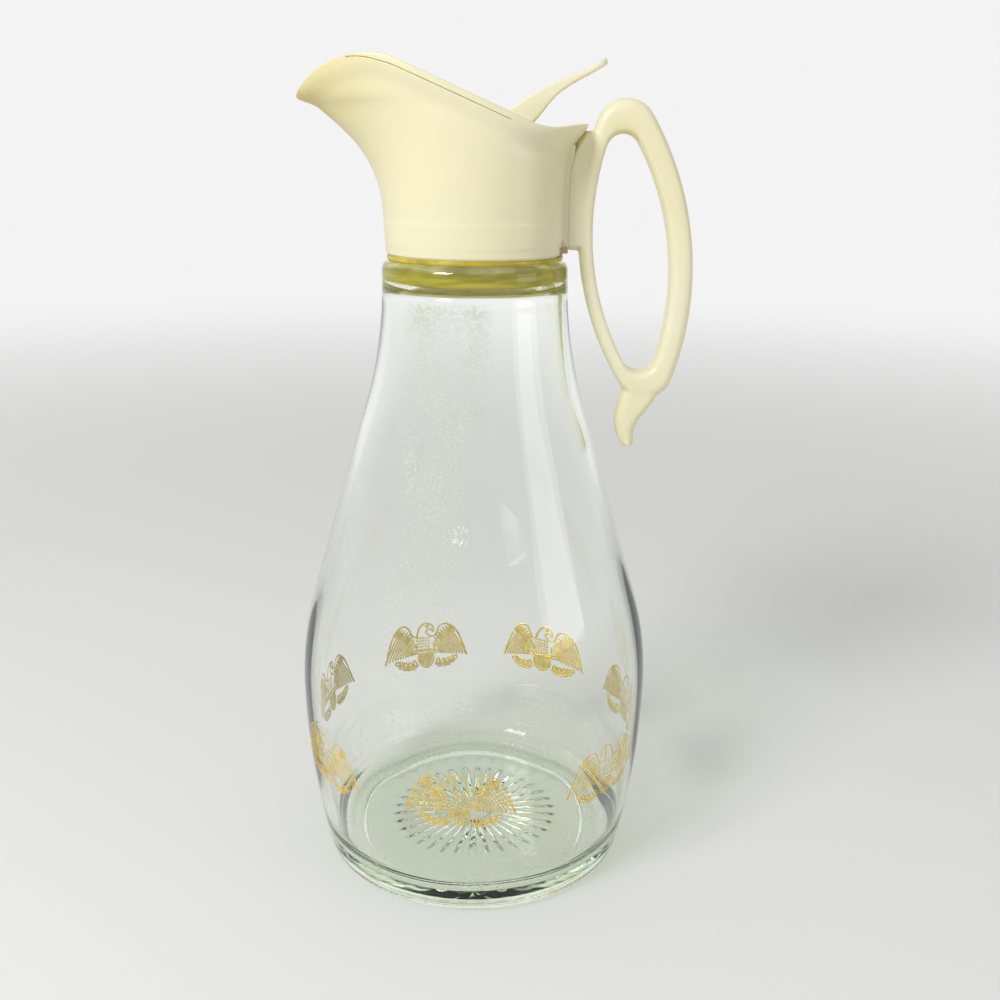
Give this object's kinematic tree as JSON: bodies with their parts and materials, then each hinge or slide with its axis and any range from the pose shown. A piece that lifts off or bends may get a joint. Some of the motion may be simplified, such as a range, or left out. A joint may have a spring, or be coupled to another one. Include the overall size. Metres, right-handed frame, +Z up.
{
  "type": "syrup dispenser",
  "caption": "Glass table syrup dispenser: a pear-shaped bottle with a screw-on plastic pour top, thumb-lever lid and loop handle.",
  "frame": {"origin": "centre of the ring that the bottle stands on, on the bottle's axis, in the plane of the table", "axes": "+Z up along the bottle's axis; +X towards the handle, so the beak points along -X; +Y across"},
  "size_m": [0.1169, 0.1084, 0.2408],
  "materials": {
    "clear_glass": "clear, glossy, faintly green in the thick base",
    "soft_seal": "yellowed soft vinyl",
    "ivory_plastic": "glossy, slightly translucent ivory"
  },
  "bodies": {
    "bottle": {"bottle": "clear_glass"},
    "seal": {"seal_ring": "soft_seal"},
    "pour_top": {"pour_top": "ivory_plastic", "handle": "ivory_plastic"},
    "lid": {"lid": "ivory_plastic"}
  },
  "joints": [
    {"name": "top_lift", "type": "slide", "parent": "bottle", "child": "seal", "axis": [0, 0, 1], "range_m": [0, 0.0053]},
    {"name": "top_twist", "type": "hinge", "parent": "seal", "child": "pour_top", "pos_m": [0, 0, 0.1881], "axis": [0, 0, 1], "range_deg": [0, 450]},
    {"name": "lid_hinge", "type": "hinge", "parent": "pour_top", "child": "lid", "pos_m": [0.014, 0, 0.222], "axis": [0, 1, 0], "range_deg": [0, 19.5]}
  ],
  "couplings": [
    {"joint": "top_lift", "follows": "top_twist", "m_per_rad": 0.00067375}
  ]
}
